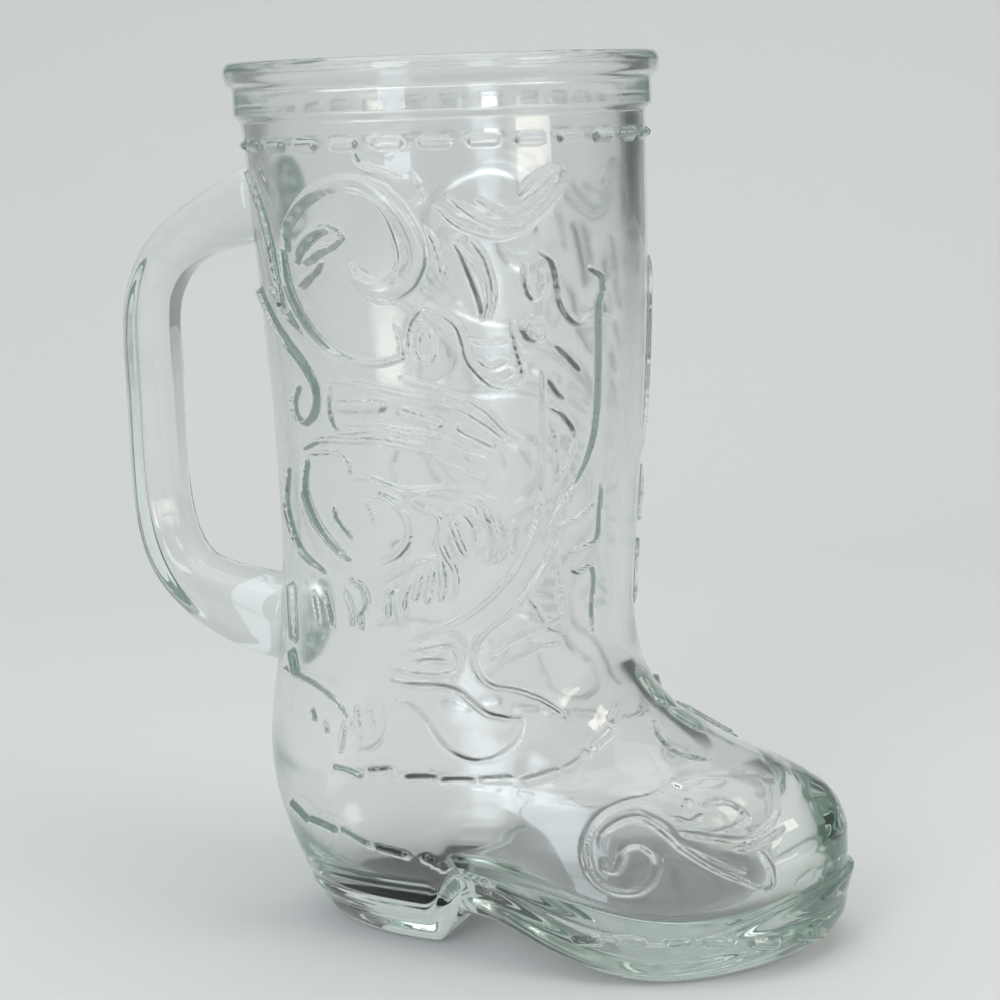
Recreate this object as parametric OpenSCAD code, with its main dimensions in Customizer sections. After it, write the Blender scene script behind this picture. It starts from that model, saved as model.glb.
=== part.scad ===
// Western boot drinking glass: a pressed glass boot with a side handle.
// Lengths are in millimetres, +X points to the toe and +Z up.
// The origin lies on the table, under the middle of the whole glass.

/* [Leg] */
// Height of the boot from the table to the rim
boot_height = 180; // [172:1:196]
// Height at which the foot has run over into the leg
foot_height = 68; // [64:1:74]
// Width of the leg just under the collar
leg_width = 81.8; // [79:0.2:83]
// Width of the leg where it is narrowest, over the ankle
ankle_width = 73.4; // [71:0.2:77]
// Thickness of the glass in the leg
wall = 4; // [3:0.1:5]

/* [Collar and rim] */
// How far the smooth collar under the rim stands out from the leg
collar_stand = 1.3; // [0.8:0.1:2]
// Height of the collar
collar_height = 6.4; // [5:0.2:9]
// How far the rim bead stands out from the collar
rim_stand = 1.8; // [1.2:0.1:3]
// Height of the rim bead
rim_height = 5.4; // [4:0.2:7]
// Opening of the mouth beyond the bore of the leg, on each side
mouth_flare = 1.1; // [0.4:0.1:1.6]

/* [Foot] */
// Reach of the heel behind the axis of the leg
heel_reach = 43; // [41:0.5:46]
// Reach of the toe in front of the axis of the leg
toe_reach = 82.2; // [76:0.2:90]
// Width of the welt round the heel
heel_width = 54; // [50:0.5:60]
// Width of the welt over the ball of the foot
ball_width = 75.6; // [70:0.2:82]
// How far each side of the sole is drawn in at the waist
waist_draw = 6; // [3:0.2:8]
// Rise of the sole under the arch
arch_rise = 7.2; // [4:0.2:8]
// Rise of the welt at the tip of the toe
toe_spring = 8.2; // [4:0.2:9]
// Height of the sole with its welt
sole_height = 9.2; // [8:0.2:11]
// Thickness of the glass under the foot
floor_thickness = 8.4; // [7:0.2:10]
// Thickness of the glass in front of the toes
toe_wall = 10; // [7:0.2:12]
// Width of the round between the inside walls and the floor
floor_round = 12.5; // [9:0.5:14]

/* [Handle] */
// Reach of the handle behind the axis of the leg
handle_reach = 74.1; // [70:0.2:82]
// Thickness of the grip, seen from the side
grip_thickness = 10.4; // [9:0.2:12]
// Width of the grip, seen from behind
grip_width = 15; // [13:0.2:18]
// Thickness of the handle where it joins the boot
root_thickness = 18; // [14:0.2:20]
// Width of the handle where it joins the boot
root_width = 18.6; // [16:0.2:22]
// Height of the upper root over the table
upper_root_height = 153; // [148:1:156]
// Height of the lower root over the table
lower_root_height = 62.6; // [60:0.2:68]

/* [Relief] */
// Height of the raised ornament over the wall
relief_height = 0.9; // [0.5:0.1:1.4]
// Width of the broadest ridge of the ornament
ridge_width = 3.6; // [2.4:0.2:4.4]
// Length of a stitch below the collar
stitch_length = 6.3; // [4:0.1:7]
// Width of a stitch
stitch_width = 2; // [1.2:0.1:2.6]
// Number of stitches round the leg below the collar
stitch_count = 28; // [20:1:32]
// Depth of the stitches below the collar, from the rim
stitch_drop = 16.4; // [15:0.2:20]

/* [Hidden] */

// Fineness of the faceting, as heights between rings and counts round a ring
foot_ring_gap = 3.4;
leg_ring_gap = 12.5;
inner_foot_ring_gap = 5;
inner_leg_ring_gap = 25;
outer_sides = 48;
inner_sides = 32;
handle_sides = 20;
handle_stations = 3;

// Cuts run past a face by this much
overrun = 1;
// Step by which the collar stands on the leg
collar_slope = 1.4;
// Depth to which ornament is sunk into the wall
relief_sink = 0.9;

leg_r = leg_width / 2;
ankle_r = ankle_width / 2;
collar_r = leg_r + collar_stand;
rim_r = collar_r + rim_stand;
heel_half = heel_width / 2;
ball_half = ball_width / 2;
rim_z = boot_height - rim_height;
collar_z = rim_z - collar_height;
leg_z = collar_z - collar_slope;
middle_x = (toe_reach - handle_reach) / 2;

// The skin is a stack of levels. Each level has eight columns: height, reach to the
// back, reach to the front, half width at the heel, half width at the ball, draw of the
// waist, rise of the arch and rise of the toe.

// Sole and welt: shares of sole_height, heel_reach, toe_reach, heel and ball half
// widths, waist_draw, arch_rise and toe_spring. The fourth row is the groove between
// the sole and the welt, the last the ledge on top of the welt.
sole_shares = [
    [0.00, 0.64, 0.908, 0.82, 0.905, 1.00, 1.00, 0.27],
    [0.13, 0.71, 0.944, 0.89, 0.958, 1.00, 1.00, 0.32],
    [0.43, 0.76, 0.981, 0.93, 0.990, 0.97, 1.00, 0.59],
    [0.53, 0.77, 0.983, 0.94, 0.984, 0.93, 1.03, 0.71],
    [0.89, 0.83, 1.000, 1.00, 1.000, 0.83, 1.11, 1.00],
    [1.00, 0.83, 0.983, 0.99, 0.971, 0.77, 1.11, 1.00]
];
// Upper over the sole, up to the heel's backmost point: the height is a share of the
// way from the sole to foot_height, the rest are shares as above
foot_shares = [
    [0.05, 0.865, 0.984, 1.03, 0.974, 0.67, 0.97, 0.93],
    [0.17, 0.928, 0.985, 1.10, 0.942, 0.50, 0.50, 0.61],
    [0.29, 0.977, 0.971, 1.16, 0.862, 0.33, 0.17, 0.32],
    [0.37, 0.995, 0.944, 1.20, 0.783, 0.20, 0.04, 0.12],
    [0.43, 1.000, 0.891, 1.22, 0.735, 0.13, 0.00, 0.02]
];
// Instep, up to the ankle: height as above, reaches as shares of the way from the
// ankle to the heel and the toe, half widths as shares of the ankle's, draw of the waist
instep_shares = [
    [0.490, 0.970, 0.613, 0.916, 0.719, 0.07],
    [0.575, 0.857, 0.363, 0.932, 0.708, 0.03],
    [0.680, 0.667, 0.147, 0.948, 0.763, 0],
    [0.810, 0.397, 0.026, 0.962, 0.872, 0],
    [1.000, 0.160, -0.013, 0.975, 0.970, 0]
];
// Leg: shares of the way from foot_height to the collar, and for the back, the front
// and the sides shares of the way from the ankle's radius to the leg's
leg_shares = [
    [0.16, -0.07, 0.12, 0.00],
    [0.37, -0.02, 0.52, 0.31],
    [0.61, 0.31, 0.88, 0.64],
    [0.84, 0.69, 1.00, 0.88],
    [1.00, 1.00, 1.00, 1.00]
];
// Rim bead: shares of rim_height, and of the step from the collar out to the rim
bead_shares = [[0.00, 0.00], [0.26, 0.78], [0.63, 1.00], [0.93, 0.67], [1.00, 0.22]];
// Where the parts of the foot lie along X, as shares of toe_reach
heel_blend_share = -0.30;
ball_blend_share = 0.67;
waist_share = 0.10;
waist_spread_share = 0.21;
arch_shares = [-0.012, 0.085, 0.134, 0.65];
tip_shares = [0.65, 1.04];

function mix(a, b, share) = a + (b - a) * share;
function eased(a, b, v) =
    let (t = min(1, max(0, (v - a) / (b - a))))
    t * t * (3 - 2 * t);

// One round level, as the leg, the collar and the rim have
function round_level(z, back, front, side) = [z, back, front, side, side, 0, 0, 0];

sole_levels = [for (s = sole_shares)
    [sole_height * s[0], heel_reach * s[1], toe_reach * s[2], heel_half * s[3],
     ball_half * s[4], waist_draw * s[5], arch_rise * s[6], toe_spring * s[7]]];
foot_levels = [for (s = foot_shares)
    [mix(sole_height, foot_height, s[0]), heel_reach * s[1], toe_reach * s[2],
     heel_half * s[3], ball_half * s[4], waist_draw * s[5], arch_rise * s[6],
     toe_spring * s[7]]];
instep_levels = [for (s = instep_shares)
    [mix(sole_height, foot_height, s[0]), mix(ankle_r, heel_reach, s[1]),
     mix(ankle_r, toe_reach, s[2]), ankle_r * s[3], ankle_r * s[4], waist_draw * s[5],
     0, 0]];
leg_levels = [for (s = leg_shares)
    round_level(mix(foot_height, leg_z, s[0]), mix(ankle_r, leg_r, s[1]),
                mix(ankle_r, leg_r, s[2]), mix(ankle_r, leg_r, s[3]))];
collar_levels = [round_level(collar_z, collar_r, collar_r, collar_r)];
bead_levels = [for (s = bead_shares)
    let (r = mix(collar_r, rim_r, s[1]))
    round_level(mix(rim_z, boot_height, s[0]), r, r, r)];
outer_levels = concat(sole_levels, foot_levels, instep_levels, leg_levels,
                      collar_levels, bead_levels);

// A smooth curve through each column, which never swings past its points
function chord(rows, i, c) =
    (rows[i + 1][c] - rows[i][c]) / (rows[i + 1][0] - rows[i][0]);
function slope(rows, i, c) =
    i == 0 ? chord(rows, 0, c) :
    i == len(rows) - 1 ? chord(rows, i - 1, c) :
    let (a = chord(rows, i - 1, c), b = chord(rows, i, c),
         p = rows[i][0] - rows[i - 1][0], q = rows[i + 1][0] - rows[i][0])
    a * b <= 0 ? 0 : 3 * (p + q) / ((2 * q + p) / a + (q + 2 * p) / b);
function slopes(rows) =
    [for (i = [0 : len(rows) - 1]) [for (c = [0 : 7]) c == 0 ? 1 : slope(rows, i, c)]];
function row_below(rows, z, low, high) =
    high - low <= 1 ? low :
    let (half = floor((low + high) / 2))
    rows[half][0] <= z ? row_below(rows, z, half, high) : row_below(rows, z, low, half);
function level(rows, bends, z) =
    let (i = row_below(rows, z, 0, len(rows) - 1),
         h = rows[i + 1][0] - rows[i][0],
         t = min(1, max(0, (z - rows[i][0]) / h)))
    [for (c = [0 : 7])
        c == 0 ? z :
        (2 * t + 1) * (1 - t) * (1 - t) * rows[i][c]
        + t * (1 - t) * (1 - t) * h * bends[i][c]
        + t * t * (3 - 2 * t) * rows[i + 1][c]
        + t * t * (t - 1) * h * bends[i + 1][c]];

// A point of the skin: turn runs from 0 at the back to 180 at the front
function skin_point(row, turn) =
    let (x = (row[2] - row[1]) / 2 - (row[2] + row[1]) / 2 * cos(turn),
         ball = eased(toe_reach * heel_blend_share, toe_reach * ball_blend_share, x),
         off_waist = (x / toe_reach - waist_share) / waist_spread_share,
         half = mix(row[3], row[4], ball) - row[5] * exp(-off_waist * off_waist),
         arch = eased(toe_reach * arch_shares[0], toe_reach * arch_shares[1], x)
                * (1 - eased(toe_reach * arch_shares[2], toe_reach * arch_shares[3], x)),
         tip = eased(toe_reach * tip_shares[0], toe_reach * tip_shares[1], x))
    [x, half * sin(turn), row[0] + row[6] * arch + row[7] * tip];

outer_bends = slopes(outer_levels);
function outer_at(turn, z) = skin_point(level(outer_levels, outer_bends, z), turn);

// The cavity follows the outside at a thickness that grows towards the toe
// Thickness in front as a share of the way from the wall to the toe wall, by height
// over the sole as a share of the way up to foot_height
toe_thickness_shares = [
    [0.00, 1.00], [0.17, 1.08], [0.29, 1.05], [0.37, 1.10], [0.43, 1.20],
    [0.49, 1.43], [0.575, 0.78], [0.68, 0.25], [0.81, 0.10], [1.00, 0.00]
];
// Round at the floor: height and inset as shares of floor_round
round_shares = [[0.00, 1.00], [0.08, 0.50], [0.29, 0.19], [0.85, 0.03]];
// Rise of the cavity's floor at the toe, as a share of the welt's
floor_tip_share = 0.4;

function over_row(z) = (z - sole_height) / (foot_height - sole_height);
function toe_thickness(z) =
    mix(wall, toe_wall, lookup(over_row(z), toe_thickness_shares));
function cavity_level(z, inset) =
    let (row = level(outer_levels, outer_bends, z), front = toe_thickness(z),
         tip = mix(floor_tip_share, 1, eased(floor_thickness, foot_height / 2, z)))
    [z, row[1] - wall - inset, row[2] - front - inset, row[3] - wall - inset,
     row[4] - wall - inset, row[5], row[6], row[7] * tip];
mouth_r = leg_r - wall + mouth_flare;
cavity_levels = concat(
    [for (s = round_shares)
        cavity_level(floor_thickness + floor_round * s[0], floor_round * s[1])],
    [for (row = concat(foot_levels, instep_levels, leg_levels))
        if (row[0] > floor_thickness + floor_round) cavity_level(row[0], 0)],
    [round_level(rim_z, mouth_r, mouth_r, mouth_r),
     round_level(boot_height - collar_slope / 2, mouth_r + collar_slope / 2,
                 mouth_r + collar_slope / 2, mouth_r + collar_slope / 2),
     round_level(boot_height, mouth_r + collar_slope, mouth_r + collar_slope,
                 mouth_r + collar_slope),
     round_level(boot_height + overrun, mouth_r + collar_slope, mouth_r + collar_slope,
                 mouth_r + collar_slope)]);

// Heights of the rings: every level, with even steps between them
function ring_heights(rows, foot_gap, leg_gap) = [
    for (i = [0 : len(rows) - 2])
        let (gap = rows[i][0] < foot_height ? foot_gap : leg_gap,
             rise = rows[i + 1][0] - rows[i][0],
             steps = max(1, ceil(rise / gap)))
        for (k = [0 : steps - 1]) rows[i][0] + rise * k / steps,
    rows[len(rows) - 1][0]
];

// A closed skin through the rings. Its ends are strips from side to side, so the sole
// keeps its arch.
module skin(rows, foot_gap, leg_gap, sides) {
    bends = slopes(rows);
    heights = ring_heights(rows, foot_gap, leg_gap);
    rings = len(heights);
    points = [for (z = heights)
        let (row = level(rows, bends, z))
        for (j = [0 : sides - 1]) skin_point(row, 360 * j / sides)];
    half = sides / 2;
    walls = [for (i = [0 : rings - 2], j = [0 : sides - 1])
        let (a = i * sides + j, b = i * sides + (j + 1) % sides)
        each [[a, b, a + sides], [b, b + sides, a + sides]]];
    top = (rings - 1) * sides;
    ends = [for (j = [0 : half - 1])
        let (a = j, b = j + 1, c = (sides - j) % sides, d = sides - j - 1)
        each concat(
            j > 0 ? [[a, c, b], [top + a, top + b, top + c]] : [],
            j < half - 1 ? [[b, c, d], [top + b, top + d, top + c]] : [])];
    polyhedron(points, concat(walls, ends));
}
module outer_skin() {
    skin(outer_levels, foot_ring_gap, leg_ring_gap, outer_sides);
}
module cavity() {
    skin(cavity_levels, inner_foot_ring_gap, inner_leg_ring_gap, inner_sides);
}

// The ornament is drawn on the skin. A place is a turn share, 0 at the back and 1 at
// the front, and a height share, in which this much belongs to the foot.
foot_share = 0.378;
function drawn_height(share) =
    share <= foot_share ? foot_height * share / foot_share :
    mix(foot_height, boot_height, (share - foot_share) / (1 - foot_share));
function place(p, side) = outer_at(180 * p[0] * side, drawn_height(p[1]));
function unit(v) = v / norm(v);
// The outward direction of the skin at a place, from two short steps along it
probe_share = 0.004;
function outward(p, side) =
    let (across = place([p[0] + probe_share, p[1]], side)
                  - place([p[0] - probe_share, p[1]], side),
         up = place([p[0], p[1] + probe_share], side)
              - place([p[0], p[1] - probe_share], side))
    unit(cross(across, up)) * side;

// A ridge with a rounded back along a drawn path. Its width swells from the ends to
// the middle.
arc_shares = [[-0.36, 0.75], [0, 1], [0.36, 0.75]];
base_share = 0.62;
end_width_share = 0.45;
module ridge(path, width, side) {
    last = len(path) - 1;
    count = len(arc_shares) + 2;
    points = [for (i = [0 : last])
        let (here = place(path[i], side),
             along = unit(place(path[min(last, i + 1)], side)
                          - place(path[max(0, i - 1)], side)),
             out = outward(path[i], side),
             across = unit(cross(out, along)),
             swell = mix(end_width_share, 1, sqrt(sin(180 * i / last))),
             w = width * swell,
             h = relief_height * mix(0.5, 1, swell))
        each concat(
            [for (s = arc_shares) here + across * w * s[0] + out * h * s[1]],
            [here + across * w * base_share - out * relief_sink,
             here - across * w * base_share - out * relief_sink])];
    walls = [for (i = [0 : last - 1], j = [0 : count - 1])
        let (a = i * count + j, b = i * count + (j + 1) % count)
        each [[a, b, a + count], [b, b + count, a + count]]];
    first_end = [for (j = [count - 1 : -1 : 0]) j];
    last_end = [for (j = [0 : count - 1]) last * count + j];
    polyhedron(points, concat(walls, [first_end, last_end]));
}

// A stitch is a rounded dash that stands half out of the wall
stitch_sides = 6;
module stitch(from, to) {
    hull() {
        for (p = [from, to])
            translate(p)
                sphere(d = stitch_width, $fn = stitch_sides);
    }
}
// Stitches of a seam, from the middles of its dashes, with the seam's own length
module seam(middles, length, side) {
    for (i = [0 : len(middles) - 1]) {
        here = place(middles[i], side);
        next = place(middles[min(len(middles) - 1, i + 1)], side);
        past = place(middles[max(0, i - 1)], side);
        along = unit(next - past) * (length - stitch_width) / 2;
        stitch(here - along, here + along);
    }
}
module collar_stitches() {
    z = boot_height - stitch_drop;
    for (k = [0 : stitch_count - 1]) {
        turn = 360 * (k + 0.5) / stitch_count;
        here = outer_at(turn, z);
        along = unit(outer_at(turn + 1, z) - outer_at(turn - 1, z))
                * (stitch_length - stitch_width) / 2;
        stitch(here - along, here + along);
    }
}

// Drawn paths of the ornament on one side, as turn and height shares
upper_scroll_shares = [[0.317, 0.808], [0.334, 0.831], [0.370, 0.852], [0.430, 0.867],
    [0.494, 0.866], [0.538, 0.846], [0.560, 0.812], [0.555, 0.776], [0.518, 0.756],
    [0.488, 0.763], [0.470, 0.780]];
upper_sweep_shares = [[0.323, 0.793], [0.337, 0.755], [0.383, 0.717], [0.440, 0.690],
    [0.495, 0.681], [0.532, 0.692]];
small_scroll_shares = [[0.533, 0.700], [0.542, 0.728], [0.573, 0.741], [0.620, 0.722],
    [0.640, 0.687], [0.675, 0.658], [0.726, 0.661]];
strap_top_shares = [[0.395, 0.661], [0.4825, 0.655], [0.565, 0.643], [0.649, 0.620],
    [0.717, 0.589]];
strap_bottom_shares = [[0.3216, 0.583], [0.3875, 0.596], [0.468, 0.597],
    [0.558, 0.582], [0.625, 0.565], [0.678, 0.548]];
front_arc_shares = [[0.857, 0.767], [0.890, 0.749], [0.873, 0.720], [0.876, 0.650],
    [0.870, 0.589], [0.846, 0.557], [0.810, 0.519], [0.777, 0.492]];
stem_shares = [[0.768, 0.660], [0.766, 0.580], [0.757, 0.503], [0.7165, 0.460],
    [0.670, 0.422], [0.620, 0.399], [0.574, 0.383]];
stem_curl_shares = [[0.787, 0.474], [0.738, 0.4285], [0.680, 0.392], [0.644, 0.370],
    [0.648, 0.338], [0.680, 0.316], [0.730, 0.305], [0.765, 0.276]];
lower_scroll_shares = [[0.460, 0.537], [0.505, 0.530], [0.532, 0.502], [0.526, 0.472],
    [0.500, 0.456]];
back_arc_shares = [[0.350, 0.568], [0.350, 0.527], [0.370, 0.498], [0.409, 0.480]];
side_wave_shares = [[0.495, 0.328], [0.560, 0.321], [0.610, 0.314], [0.645, 0.288],
    [0.690, 0.281]];
side_scallop_shares = [[0.497, 0.299], [0.534, 0.278], [0.5525, 0.252], [0.600, 0.236],
    [0.645, 0.249], [0.670, 0.267]];
toe_scroll_shares = [[0.735, 0.203], [0.664, 0.190], [0.606, 0.167], [0.590, 0.136],
    [0.602, 0.107], [0.635, 0.098], [0.663, 0.110], [0.670, 0.132], [0.648, 0.148]];
// Middles of the stitches of the seams
vamp_seam_shares = [[0.400, 0.216], [0.449, 0.213], [0.500, 0.212], [0.545, 0.212],
    [0.602, 0.217], [0.678, 0.232], [0.785, 0.259], [0.860, 0.280]];
heel_seam_shares = [[0.200, 0.134], [0.246, 0.124], [0.311, 0.122], [0.352, 0.119],
    [0.4075, 0.096]];
// Raised tongue down the middle of the vamp
tongue_shares = [[1, 0.262], [1, 0.245], [1, 0.228], [1, 0.213], [1, 0.204]];
fine_share = 0.6;
seam_share = 0.85;

module scrollwork(side) {
    ridge(upper_scroll_shares, ridge_width, side);
    ridge(upper_sweep_shares, ridge_width * fine_share, side);
    ridge(small_scroll_shares, ridge_width * fine_share, side);
    ridge(strap_top_shares, ridge_width * fine_share, side);
    ridge(strap_bottom_shares, ridge_width * fine_share, side);
    ridge(front_arc_shares, ridge_width * fine_share, side);
    ridge(stem_shares, ridge_width * fine_share, side);
    ridge(stem_curl_shares, ridge_width * fine_share, side);
    ridge(lower_scroll_shares, ridge_width * fine_share, side);
    ridge(back_arc_shares, ridge_width * fine_share, side);
    ridge(side_wave_shares, ridge_width * fine_share, side);
    ridge(side_scallop_shares, ridge_width * fine_share, side);
    ridge(toe_scroll_shares, ridge_width * fine_share, side);
}
module seams(side) {
    seam(vamp_seam_shares, stitch_length * seam_share, side);
    seam(heel_seam_shares, stitch_length * seam_share, side);
}

// The handle runs through these places: the reach as a share of the way from the
// boot's back at that root to handle_reach, where a share under 0 lies inside the wall,
// the height as a share of the way from the lower root to the upper one, then the
// swell of the thickness and of the width from the grip to the root
upper_half_shares = [
    [-0.110, 1.000, 1.00, 0.80],
    [0.18, 0.969, 0.74, 0.39],
    [0.51, 0.929, 0.26, 0.17],
    [0.78, 0.872, 0.08, 0.06],
    [0.945, 0.790, 0.00, 0.00],
    [1.00, 0.690, 0.00, 0.00],
    [1.00, 0.519, 0.00, 0.00]
];
lower_half_shares = [
    [1.00, 0.376, 0.00, 0.00],
    [0.983, 0.270, 0.00, 0.00],
    [0.918, 0.173, 0.05, 0.06],
    [0.78, 0.102, 0.18, 0.17],
    [0.544, 0.053, 0.50, 0.60],
    [0.249, 0.020, 0.85, 1.00],
    [-0.062, 0.000, 1.00, 1.00]
];
handle_axis = handle_reach - grip_thickness / 2;
function back_at(z) = level(outer_levels, outer_bends, z)[1];
function handle_place(s, root) =
    [-mix(back_at(root), handle_axis, s[0]),
     mix(lower_root_height, upper_root_height, s[1]),
     mix(grip_thickness, root_thickness, s[2]) / 2,
     mix(grip_width, root_width, s[3]) / 2];
handle_points = concat(
    [for (s = upper_half_shares) handle_place(s, upper_root_height)],
    [for (s = lower_half_shares) handle_place(s, lower_root_height)]);

// A smooth run through the places
function run_at(points, t) =
    let (last = len(points) - 1, i = min(last - 1, floor(t)), u = t - i,
         a = points[max(0, i - 1)], b = points[i], c = points[i + 1],
         d = points[min(last, i + 2)])
    (2 * b + (c - a) * u + (2 * a - 5 * b + 4 * c - d) * u * u
     + (3 * b - a - 3 * c + d) * u * u * u) / 2;
handle_run = [for (k = [0 : (len(handle_points) - 1) * handle_stations])
    run_at(handle_points, k / handle_stations)];

// A full, rounded section of the handle, standing across its run
section_power = 2.6;
function rounded(v) = sign(v) * pow(abs(v), 2 / section_power);
function handle_section(i) =
    let (last = len(handle_run) - 1, here = handle_run[i],
         ahead = handle_run[min(last, i + 1)] - handle_run[max(0, i - 1)],
         along = unit([ahead[0], ahead[1]]))
    [for (j = [0 : handle_sides - 1])
        let (a = 360 * j / handle_sides, out = here[2] * rounded(cos(a)))
        [here[0] + along[1] * out, here[3] * rounded(sin(a)), here[1] - along[0] * out]];
module handle_rod() {
    sides = handle_sides;
    last = len(handle_run) - 1;
    points = [for (i = [0 : last]) each handle_section(i)];
    walls = [for (i = [0 : last - 1], j = [0 : sides - 1])
        let (a = i * sides + j, b = i * sides + (j + 1) % sides)
        each [[a, a + sides, b], [b, a + sides, b + sides]]];
    ends = [[for (j = [0 : sides - 1]) j],
            [for (j = [sides - 1 : -1 : 0]) last * sides + j]];
    polyhedron(points, concat(walls, ends));
}

module boot_body() {
    color([0.86, 0.91, 0.89, 0.5])
        translate([-middle_x, 0, 0])
            difference() {
                union() {
                    outer_skin();
                    seams(1);
                    seams(-1);
                    collar_stitches();
                    ridge(tongue_shares, ridge_width, 1);
                }
                cavity();
            }
}

module handle() {
    color([0.78, 0.86, 0.82, 0.5])
        translate([-middle_x, 0, 0])
            difference() {
                handle_rod();
                outer_skin();
                collar_stitches();
            }
}

boot_body();
handle();
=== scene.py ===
import math

import bpy
import numpy as np
from bpy.props import FloatProperty, FloatVectorProperty, IntProperty, PointerProperty
from mathutils import Matrix
from mathutils.kdtree import KDTree


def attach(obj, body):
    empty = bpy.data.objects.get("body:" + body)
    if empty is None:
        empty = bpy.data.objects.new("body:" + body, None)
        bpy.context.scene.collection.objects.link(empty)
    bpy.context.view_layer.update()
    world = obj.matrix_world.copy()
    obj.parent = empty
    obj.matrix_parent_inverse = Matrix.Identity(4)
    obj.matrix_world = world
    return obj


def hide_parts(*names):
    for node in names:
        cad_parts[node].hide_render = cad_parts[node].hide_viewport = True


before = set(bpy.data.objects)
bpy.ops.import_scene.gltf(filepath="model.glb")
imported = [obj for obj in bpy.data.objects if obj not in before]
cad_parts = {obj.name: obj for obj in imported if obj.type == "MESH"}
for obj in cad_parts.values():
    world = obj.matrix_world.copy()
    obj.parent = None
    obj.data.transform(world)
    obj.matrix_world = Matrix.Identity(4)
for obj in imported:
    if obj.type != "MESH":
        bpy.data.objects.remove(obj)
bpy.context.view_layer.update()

bl_info = {
    "name": "Glass boot",
    "version": (1, 0, 0),
    "blender": (4, 5, 0),
    "location": "View3D > Sidebar > Glass boot",
    "description": "Builds a pressed glass drinking boot with its western relief and handle",
    "category": "Object",
}

MM = 0.001

# ---- The boot's form, in millimetres from the axis of the leg ----

BOOT_HEIGHT = 180.0
FOOT_REACH = 82.2
HANDLE_REACH = 74.1
MIDDLE_X = (FOOT_REACH - HANDLE_REACH) / 2
# height, back, front, half width at the heel, half width at the ball, draw of the waist,
# rise of the arch, rise of the toe
OUTER_LEVELS = np.array([
    (0.0, -27.6, 74.6, 22.0, 34.2, 6.0, 7.2, 2.2),
    (1.2, -30.4, 77.6, 24.0, 36.2, 6.0, 7.2, 2.6),
    (4.0, -32.8, 80.6, 25.2, 37.4, 5.8, 7.2, 4.8),
    (4.9, -33.2, 80.8, 25.4, 37.2, 5.6, 7.4, 5.8),
    (8.2, -35.6, 82.2, 27.0, 37.8, 5.0, 8.0, 8.2),
    (9.2, -35.8, 80.8, 26.8, 36.7, 4.6, 8.0, 8.2),
    (12.0, -37.2, 80.9, 27.8, 36.8, 4.0, 7.0, 7.6),
    (19.0, -39.9, 81.0, 29.8, 35.6, 3.0, 3.6, 5.0),
    (26.0, -42.0, 79.8, 31.4, 32.6, 2.0, 1.2, 2.6),
    (31.0, -42.8, 77.6, 32.4, 29.6, 1.2, 0.3, 1.0),
    (34.5, -43.0, 73.2, 33.0, 27.8, 0.8, 0.0, 0.2),
    (38.0, -42.8, 64.6, 33.6, 26.4, 0.4, 0.0, 0.0),
    (43.0, -42.1, 53.2, 34.2, 26.0, 0.2, 0.0, 0.0),
    (49.0, -40.9, 43.4, 34.8, 28.0, 0.0, 0.0, 0.0),
    (57.0, -39.2, 37.9, 35.3, 32.0, 0.0, 0.0, 0.0),
    (68.0, -37.7, 36.1, 35.8, 35.6, 0.0, 0.0, 0.0),
    (84.0, -36.4, 37.2, 36.7, 36.7, 0.0, 0.0, 0.0),
    (105.0, -36.6, 38.9, 38.0, 38.0, 0.0, 0.0, 0.0),
    (129.5, -38.0, 40.4, 39.4, 39.4, 0.0, 0.0, 0.0),
    (152.0, -39.6, 40.9, 40.4, 40.4, 0.0, 0.0, 0.0),
    (168.2, -40.9, 40.9, 40.9, 40.9, 0.0, 0.0, 0.0),
    (169.6, -42.2, 42.2, 42.2, 42.2, 0.0, 0.0, 0.0),
    (174.6, -42.2, 42.2, 42.2, 42.2, 0.0, 0.0, 0.0),
    (176.0, -43.6, 43.6, 43.6, 43.6, 0.0, 0.0, 0.0),
    (178.0, -44.0, 44.0, 44.0, 44.0, 0.0, 0.0, 0.0),
    (179.6, -43.4, 43.4, 43.4, 43.4, 0.0, 0.0, 0.0),
    (180.0, -42.6, 42.6, 42.6, 42.6, 0.0, 0.0, 0.0),
])
# Places along x between which the foot widens from heel to ball, its arch begins and ends,
# and its toe rises; the middle and the reach of the waist
WIDENING = (-25.0, 55.0)
ARCH_BACK = (-1.0, 7.0)
ARCH_FRONT = (11.0, 53.4)
TOE_RISE = (53.4, 85.5)
WAIST_MIDDLE = 8.2
WAIST_REACH = 17.3

WALL = 4.0
TOE_WALL = 10.0
FLOOR = 8.4
FLOOR_ROUND = 12.5
# Thickness in front of the toes, as a share of the way from the wall to the toe wall
TOE_SHARES = [(9.2, 1.0), (19.0, 1.08), (26.0, 1.05), (31.0, 1.1), (34.5, 1.2),
              (38.0, 1.43), (43.0, 0.78), (49.0, 0.25), (57.0, 0.1), (68.0, 0.0)]
# The rounded edge of the floor: height and inset, as shares of FLOOR_ROUND
ROUND_SHARES = [(0.0, 1.0), (0.08, 0.5), (0.29, 0.19), (0.85, 0.03)]
CAVITY_HEIGHTS = [19.0, 26.0, 31.0, 34.5, 38.0, 43.0, 49.0, 57.0, 68.0, 84.0, 105.0,
                  129.5, 152.0, 168.2]
# The hollow's toe rises by this share of the sole's at the floor, by all of it up here
FLOOR_TOE_SHARE = 0.4
FULL_TOE_HEIGHT = 34.0
# Heights of the mouth's inside, and how far it opens there
MOUTH_RADIUS = 38.0
MOUTH_OPENING = [(174.6, 0.0), (178.6, 0.3), (179.6, 1.0), (180.0, 1.8)]

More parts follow.
